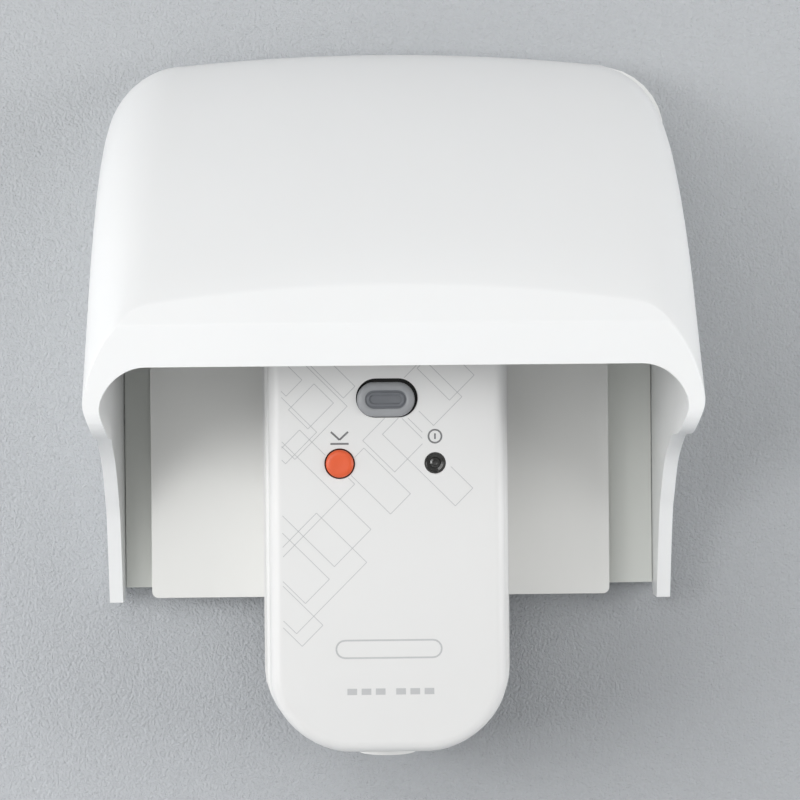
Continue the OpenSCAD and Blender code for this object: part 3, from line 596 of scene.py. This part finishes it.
def tuck_corners(ob):
    """Draws the lower front corners of the side walls in towards the middle."""
    bm = bmesh.new()
    bm.from_mesh(ob.data)
    bmesh.ops.triangulate(bm, faces=[f for f in bm.faces if len(f.verts) > 4])
    # more edges across the corners, so that they bend smoothly
    cuts = [(point(0, 0, z), (0, 0, 1)) for z in (-5.5, -6.7, -8, -9.3, -10.6)]
    cuts += [(point(0, d, 0), (0, 1, 0)) for d in (42, 45, 48, 51, 54, 57)]
    for where, across in cuts:
        bmesh.ops.bisect_plane(bm, geom=bm.verts[:] + bm.edges[:] + bm.faces[:],
                               dist=1e-7, plane_co=where, plane_no=across)
    for v in bm.verts:
        d, z = -v.co.y / MM, v.co.z / MM
        by = TUCK * ease(-z, *TUCK_Z) * ease(d, *TUCK_D) * MM
        v.co.x -= math.copysign(min(by, abs(v.co.x)), v.co.x)
    bm.to_mesh(ob.data)
    bm.free()
    tidy_mesh(ob)


def build_hood():
    """Outside less inside and mouth, trimmed to the wings, with knuckles for the hinge pins."""
    hood = hood_body("splash_hood_shell", 0.0, BACK_D)
    inside = hood_body("hood_inside", HOOD_T, -6.0)
    clear_of_hood = [(-4, 64), (70, 64), (70, TIP[1])]
    keep = prism_x("hood_profile", wing_outline() + clear_of_hood, -60, 60)
    mouth = prism_y("hood_mouth", opening_outline(), 40, 70)
    carve(hood, keep, operation="INTERSECT")
    carve(hood, inside, mouth)
    tuck_corners(hood)
    disc = circle(KNUCKLE_R, x=HINGE[0], z=HINGE[1])
    hole = circle(HINGE_HOLE_R, x=HINGE[0], z=HINGE[1])
    for side in (-1, 1):
        for x in KNUCKLE_X:
            a, b = sorted((side * x, side * (x + KNUCKLE_W)))
            carve(hood, prism_x("knuckle", disc, a, b), operation="UNION")
    for side in (-1, 1):
        a, b = sorted(side * x for x in HINGE_HOLE_X)
        carve(hood, prism_x("hinge_hole", hole, a, b))
    shift(hood, HOOD_X)
    smooth(hood)
    soften(hood, 0.35, 34)
    place(hood, "hood", "hood_plastic", "splash_hood")


# ---------------------------------------------------------------- plug case

CASE_CORNER_X, CASE_CORNER_Z, CASE_POWER = 15.0, 14.0, 1.85     # its lower corners
CASE_T, CASE_FRONT_T = 2.0, 2.2         # wall thickness of its sides and front
BODY_IN = 0.9                 # step from the case's skirt in to its main body
ROUND_D, ROUND_IN = 38.6, 2.2           # depth where the front starts to round, and how far in
FLANGE_D = (37.4, 38.6)       # back and front of the flange that keeps a button in the case
RESET_Z, RESET_W, RESET_H = -5.75, 10.2, 6.1
RESET_PLAY = -0.2             # the button hangs to the left of its hole
RESET_TRAVEL, CARRIER_TRAVEL = 2.2, 1.32
SLOT_Z, SLOT_W, SLOT_H = -5.5, 10.9, 6.9
ROW_X, ROW_Z = 8.4, -17.0     # the test button and the window, to either side of the axis
TEST_R, TEST_HOLE, LENS_R = 2.45, 2.7, 1.85
MARK_Z = -12.3                # height of the marks over the test button and the window
FLAT_X, FLAT_Z = 18.6, (-60, 6)         # the flat of the front face


def case_outline(inset, top_r=5.0, n=22):
    """Outline of the plug's front shell, moved in by inset: (x, z) about the plug's axis."""
    hw = SHELL_HW - inset
    a, b = CASE_CORNER_X - inset, CASE_CORNER_Z - inset
    r = max(top_r - inset, 0.4)
    top = SHELL_TOP - inset
    corner = []
    for i in range(n + 1):
        t = math.pi / 2 * i / n
        corner.append((hw - a + a * math.cos(t) ** (2 / CASE_POWER),
                       SHELL_BOTTOM + inset + b - b * math.sin(t) ** (2 / CASE_POWER)))
    shoulder = [(hw - r + r * math.sin(a), top - r + r * math.cos(a))
                for a in (math.pi / 2 * i / 8 for i in range(9))]
    right = shoulder + corner
    return right + [(-x, z) for x, z in reversed(right)]


def build_front_shell():
    """Skirt with a rounded front edge, a groove, then the main body with its rounded front."""
    skirt = [(SHELL_BACK, 0.8), (24.35, 0.8), (24.4, 0.15), (24.55, 0.0), (29.5, 0.0),
             (29.9, 0.08), (30.2, 0.26), (30.38, 0.52), (30.44, 0.8)]
    groove = [(30.45, 1.5), (31.0, 1.5), (31.05, BODY_IN + 0.15)]
    body = [(31.2, BODY_IN), (ROUND_D, BODY_IN)]
    for i in range(1, 13):
        a = math.pi / 2 * i / 12
        body.append((ROUND_D + (SHELL_FRONT - ROUND_D) * math.sin(a),
                     BODY_IN + ROUND_IN * (1 - math.cos(a))))
    loops = [at_depth(case_outline(inset), d) for d, inset in skirt + groove + body]
    shell = loft("front_shell_body", loops)
    inside = prism_y("front_shell_inside", case_outline(CASE_T),
                     SHELL_BACK - 1, SHELL_FRONT - CASE_FRONT_T)
    openings = (stadium(SLOT_W, SLOT_H, z=SLOT_Z), circle(TEST_HOLE, x=-ROW_X, z=ROW_Z),
                circle(LENS_R + 0.05, x=ROW_X, z=ROW_Z))
    holes = [prism_y("hole", outline, SHELL_FRONT - 5, SHELL_FRONT + 3) for outline in openings]
    carve(shell, inside, *holes)
    shift(shell, PLUG_X)
    smooth(shell, 35)
    soften(shell, 0.12, 50)
    place(shell, "fixed", "case_plastic", "front_shell")


def build_reset_button():
    """Oval button with rolled edge, dished face, a groove and an inner slot."""
    face_d = SHELL_FRONT + 0.9
    flange = stadium(RESET_W + 2.0, RESET_H + 1.6, 16)
    side = stadium(RESET_W, RESET_H, 16)
    loops = [at_depth(flange, d) for d in FLANGE_D]
    loops += [at_depth(side, d) for d in (FLANGE_D[1], face_d - 0.7)]
    shape = [(0.06, -0.5), (0.25, -0.22), (0.55, -0.06), (0.95, 0.0), (1.3, -0.05), (1.45, -0.14),
             (1.55, -0.34), (1.72, -0.34), (1.84, -0.2), (2.1, -0.16), (2.22, -0.2),
             (2.32, -0.42), (2.6, -0.46)]
    for inset, lift in shape:
        loops.append(at_depth(stadium(RESET_W - 2 * inset, RESET_H - 2 * inset, 16), face_d + lift))
    button = loft("reset_button_cap", loops)
    stem = prism_y("reset_stem", circle(2.0, 32, x=-RESET_PLAY), 27.2, 37.6)
    carve(button, stem, operation="UNION")
    shift(button, PLUG_X + RESET_PLAY, RESET_Z)
    smooth(button, 40)
    place(button, "reset", "grey_button", "reset_button")
    # painted shade: the groove and the slot inside it are darker, as shade down in the dish
    button.data.materials.append(button_material("grey_button_well_shade", srgb(112, 115, 120), GAP_SHADE))
    half, r = (RESET_W - RESET_H) / 2, RESET_H / 2 - 1.48
    for face in button.data.polygons:
        x = face.center.x / MM - PLUG_X - RESET_PLAY
        z = face.center.z / MM - RESET_Z
        if -face.center.y / MM > face_d - 1 and math.hypot(max(abs(x) - half, 0), z) < r:
            face.material_index = 1


def lathe_y(name, profile, x, z, n=48):
    """A solid turned about an axis along the depth, from (radius, depth) pairs."""
    return loft(name, [[(x + px, d, z + pz) for px, pz in circle(max(r, 0.02), n)]
                       for r, d in profile])


def build_test_button():
    top = SHELL_FRONT + 0.7
    button = lathe_y("test_button_cap", [
        (1.2, 36.5), (1.2, FLANGE_D[0]), (3.55, FLANGE_D[0]), (3.55, FLANGE_D[1]),
        (TEST_R, FLANGE_D[1]), (TEST_R, top - 0.5), (TEST_R - 0.12, top - 0.2),
        (TEST_R - 0.4, top - 0.03), (TEST_R - 0.9, top), (1.0, top - 0.06), (0.4, top - 0.09),
    ], PLUG_X - ROW_X, ROW_Z)
    smooth(button, 40)
    place(button, "test", "orange_button", "test_button")


def build_lens():
    """Sunk window with a lamp's dome and pip in the middle."""
    top = SHELL_FRONT - 0.35
    lens = lathe_y("indicator_window", [
        (LENS_R + 0.8, 38.0), (LENS_R + 0.8, 38.7), (LENS_R - 0.02, 38.7), (LENS_R - 0.02, top),
        (LENS_R - 0.25, top), (LENS_R - 0.35, top - 0.35), (1.0, top - 0.5), (0.85, top - 0.15),
        (0.55, top - 0.05), (0.45, top - 0.3), (0.2, top - 0.34)], PLUG_X + ROW_X, ROW_Z)
    smooth(lens, 40)
    place(lens, "fixed", "smoked_lens", "indicator_lens")


def twin(name, new_name):
    """A clean copy of a CAD node's shape, for one of the springs, in its rest shape."""
    node = frame["nodes"][name]
    mesh = node.data.copy()
    mesh.transform(node.matrix_world)
    ob = bpy.data.objects.new(new_name, mesh)
    bpy.context.scene.collection.objects.link(ob)
    tidy_mesh(ob)
    smooth(ob, 50)
    return ob


def build_springs():
    """Copies of the coils and of the contact leaf, which keep their rest shape as the buttons go
    in.
    """
    # how far the back and the front end of each coil move at the joint's limit
    for name, joint, back, front in (
            ("reset_spring", "reset_press", CARRIER_TRAVEL, RESET_TRAVEL),
            ("carrier_springs", "contacts_close", 0, CARRIER_TRAVEL)):
        coil = twin(name, name + "_wire")
        place(coil, "fixed", "spring_steel", name)
        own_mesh(coil)
    leaf = twin("test_contact_spring", "test_contact_leaf")
    leaf.data.materials.clear()
    leaf.data.materials.append(MATERIALS["brass"])
    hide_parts("test_contact_spring")
    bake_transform(leaf)


def strokes(name, segments, width, material, lift=0.03):
    """Thin printed lines on the case's front face, from ((x0, z0), (x1, z1)) pairs."""
    points, faces = [], []
    d0, d1 = SHELL_FRONT - 0.05, SHELL_FRONT + lift
    for (x0, z0), (x1, z1) in segments:
        length = math.hypot(x1 - x0, z1 - z0)
        nx, nz = -(z1 - z0) / length * width / 2, (x1 - x0) / length * width / 2
        corners = [(x0 + nx, z0 + nz), (x1 + nx, z1 + nz), (x1 - nx, z1 - nz), (x0 - nx, z0 - nz)]
        base = len(points)
        points += [(PLUG_X + x, d, z) for d in (d0, d1) for x, z in corners]
        faces += [[base + k for k in f] for f in (
            (0, 1, 2, 3), (4, 7, 6, 5), (0, 4, 5, 1), (1, 5, 6, 2), (2, 6, 7, 3), (3, 7, 4, 0))]
    place(new_mesh(name, points, faces), "fixed", "case_plastic", material=material)


def diamond(x, z, w, h):
    """A rectangle turned 45 degrees, from its right-hand corner: w up left, h down left."""
    w, h = w * math.sqrt(0.5), h * math.sqrt(0.5)
    return closed([(x, z), (x - w, z + w), (x - w - h, z + w - h), (x - h, z - h)])


def on_face(x, z):
    """True on the flat of the front face, clear of the buttons, the window and the marks."""
    if abs(x) >= FLAT_X or not FLAT_Z[0] < z < FLAT_Z[1]:
        return False
    if abs(x) < SLOT_W / 2 + 0.1 and abs(z - SLOT_Z) < SLOT_H / 2 + 0.1:
        return False
    beside = abs(abs(x) - ROW_X)
    return math.hypot(beside, z - ROW_Z) > TEST_HOLE + 0.15 and not (
        beside < 2.2 and abs(z - MARK_Z) < 1.7)


def clipped(segments, steps=160):
    """The parts of the segments that lie on the flat of the front face."""
    out = []
    for (x0, z0), (x1, z1) in segments:
        run = []
        for i in range(steps + 1):
            p = (x0 + (x1 - x0) * i / steps, z0 + (z1 - z0) * i / steps)
            if on_face(*p):
                run.append(p)
            if run and (i == steps or not on_face(*p)):
                if math.dist(run[0], run[-1]) > 0.3:
                    out.append((run[0], run[-1]))
                run = []
    return out


def moved(segments, x, z):
    return [((a[0] + x, a[1] + z), (b[0] + x, b[1] + z)) for a, b in segments]


def closed(outline):
    """The segments that join an outline's points all the way round."""
    return list(zip(outline, outline[1:] + outline[:1]))


LATTICE = (                   # right-hand corner, side up to the left, side down to the left
    (15.0, -21.5, 18.0, 4.4), (4.0, -22.4, 11.5, 5.0), (7.2, -12.6, 7.9, 8.4),
    (13.2, -5.4, 9.6, 7.1), (15.4, -1.6, 8.0, 6.2), (-5.8, -20.6, 13.6, 18.0),
    (-3.0, -28.6, 22.0, 9.2), (-3.8, -34.4, 12.4, 17.6), (-10.4, -37.3, 11.8, 6.0),
    (-11.6, -45.4, 10.4, 5.2), (-9.4, -6.3, 4.8, 6.4), (-5.6, -3.4, 12.0, 2.9),
    (-7.0, -6.9, 15.0, 13.1), (-12.4, -11.4, 9.0, 7.8), (-14.9, -2.2, 7.0, 4.0),
)


def build_prints():
    """A plain lattice of slanted rectangles, and plain marks in place of captions."""
    lattice = []
    for rectangle in LATTICE:
        lattice += diamond(*rectangle)
    strokes("print_lattice", clipped(lattice), 0.12, PRINT, 0.012)
    press = [((-1.5, 0.9), (0, -0.5)), ((0, -0.5), (1.5, 0.9)), ((-1.6, -1.2), (1.6, -1.2))]
    strokes("print_press_mark", moved(press, -ROW_X, MARK_Z), 0.34, PRINT_DARK)
    lamp = closed(circle(1.15, 28)) + [((0, 0.5), (0, -0.5))]
    strokes("print_lamp_mark", moved(lamp, ROW_X, MARK_Z), 0.3, PRINT_DARK)
    pill = closed(stadium(18.6, 3.1, 8))
    strokes("print_name_frame", moved(pill, 0, -49.7), 0.3, PRINT)
    dashes = [((x, 0), (x + 1.7, 0)) for x in (-7.4, -4.9, -2.4, 1.2, 3.7, 6.2)]
    strokes("print_dashes", moved(dashes, 0, -57.2), 1.1, PRINT)


dress_cad_nodes()
build_hood()
build_front_shell()
build_reset_button()
build_test_button()
build_lens()
build_springs()
build_prints()

# ---------------------------------------------------------------- stage, light and camera


def one_sided(m):
    """Lets the object be seen from behind the wall and from under the floor."""
    clear = m.add("ShaderNodeBsdfTransparent")
    pick = m.add("ShaderNodeMixShader")
    m.link(m.add("ShaderNodeNewGeometry").outputs["Backfacing"], pick.inputs["Fac"])
    m.link(m.shader.outputs["BSDF"], pick.inputs[1])
    m.link(clear.outputs["BSDF"], pick.inputs[2])
    m.link(pick.outputs["Shader"], m.tree.nodes["Material Output"].inputs["Surface"])
    return m.material


def painted_floor():
    m = Nodes("floor_paint")
    tone = m.span(m.noise(4.0, 2.0), 0, 1)
    m.link(m.blend(tone, srgb(203, 204, 205), srgb(208, 209, 210)), m.shader.inputs["Base Color"])
    m.set(Roughness=0.7)
    return one_sided(m)


def textured_wall():
    m = Nodes("wall_paint_and_shadow")
    grain = m.noise(2300.0, 2.0, 0.5)
    pores = m.noise(5200.0, 1.0)
    paint = m.blend(m.span(m.noise(6.0, 2.0), 0, 1), srgb(188, 191, 194), srgb(195, 198, 202))
    # painted shadow: a little darker close to the socket
    reach = m.add("ShaderNodeVectorMath", operation="DISTANCE")
    m.link(m.coords, reach.inputs[0])
    reach.inputs[1].default_value = (0.03, 0.0, -0.045)
    shade = m.add("ShaderNodeMix", data_type="RGBA", blend_type="MULTIPLY")
    m.link(m.span(reach.outputs["Value"], 1, 0, 0.03, 0.1), shade.inputs["Factor"])
    m.link(paint, shade.inputs["A"])
    shade.inputs["B"].default_value = (0.78, 0.78, 0.78, 1)
    m.link(shade.outputs["Result"], m.shader.inputs["Base Color"])
    m.link(m.bump(grain, 0.9, 0.5, m.bump(pores, 0.4, 0.15)), m.shader.inputs["Normal"])
    m.set(Roughness=0.62)
    return one_sided(m)


LIGHTS = (                    # name, place, width, height in metres, watts
    ("key_left", (-0.75, -0.8, 0.045), 0.5, 0.41, 4.3),
    ("key_front", (-0.4, -1.1, 0.3), 0.5, 0.5, 1.95),
    ("high_left", (-0.55, -0.7, 0.75), 0.5, 0.5, 0.6),
    ("rim_left", (-0.9, -0.25, 0.07), 0.6, 0.46, 2.15),
    ("front", (-0.05, -1.3, 0.22), 0.9, 0.76, 0.75),
    ("rim_right", (0.9, -0.25, 0.095), 0.7, 0.51, 4.15),
    ("low_right", (0.7, -0.5, -0.02), 0.25, 0.25, 0.6),
)


def build_stage():
    """The wall that the socket is let into, and a pale floor below it, in metres."""
    size, drop = 1.2, -0.5
    ahead = -0.0002           # just in front of the gasket's back, so that the two don't mix
    wall = [(-size, ahead, drop), (size, ahead, drop), (size, ahead, size), (-size, ahead, size)]
    floor = [(-size, -size, drop), (size, -size, drop), (size, size, drop), (-size, size, drop)]
    for name, corners, material in (("wall", wall, textured_wall()),
                                    ("floor", floor, painted_floor())):
        mesh = bpy.data.meshes.new(name)
        mesh.from_pydata(corners, [], [(0, 1, 2, 3)])
        mesh.materials.append(material)
        ob = bpy.data.objects.new("stage_" + name, mesh)
        bpy.context.scene.collection.objects.link(ob)


def area_light(name, where, width, height, watts):
    """A flat lamp that faces the object."""
    data = bpy.data.lights.new(name, "AREA")
    data.shape = "RECTANGLE"
    data.size, data.size_y = width, height
    data.energy = watts
    ob = bpy.data.objects.new(name, data)
    bpy.context.scene.collection.objects.link(ob)
    ob.location = where
    ob.rotation_euler = (-Vector(where)).to_track_quat("-Z", "Y").to_euler()


def build_lights():
    world = bpy.data.worlds.new("studio")
    world.use_nodes = True
    sky = world.node_tree.nodes["Background"]
    sky.inputs["Color"].default_value = (1.0, 1.0, 1.0, 1)
    sky.inputs["Strength"].default_value = 0.33
    bpy.context.scene.world = world
    for light in LIGHTS:
        area_light(*light)


def build_camera():
    """Square to the wall from half a metre, aimed slightly right and down."""
    data = bpy.data.cameras.new("camera")
    data.sensor_width = 36.0
    data.lens = 117.45
    ob = bpy.data.objects.new("camera", data)
    bpy.context.scene.collection.objects.link(ob)
    ob.location = (-0.00755, -0.5, -0.0006)
    ob.rotation_mode = "XYZ"
    yaw, pitch, roll = math.radians(-1.33), math.radians(-0.6585), math.radians(-0.5)
    turn = (Matrix.Rotation(yaw, 3, "Z") @ Matrix.Rotation(math.pi / 2 + pitch, 3, "X")
            @ Matrix.Rotation(roll, 3, "Z"))
    ob.rotation_euler = turn.to_euler()
    bpy.context.scene.camera = ob
    bpy.context.scene.view_settings.view_transform = "Standard"


build_stage()
build_lights()
build_camera()
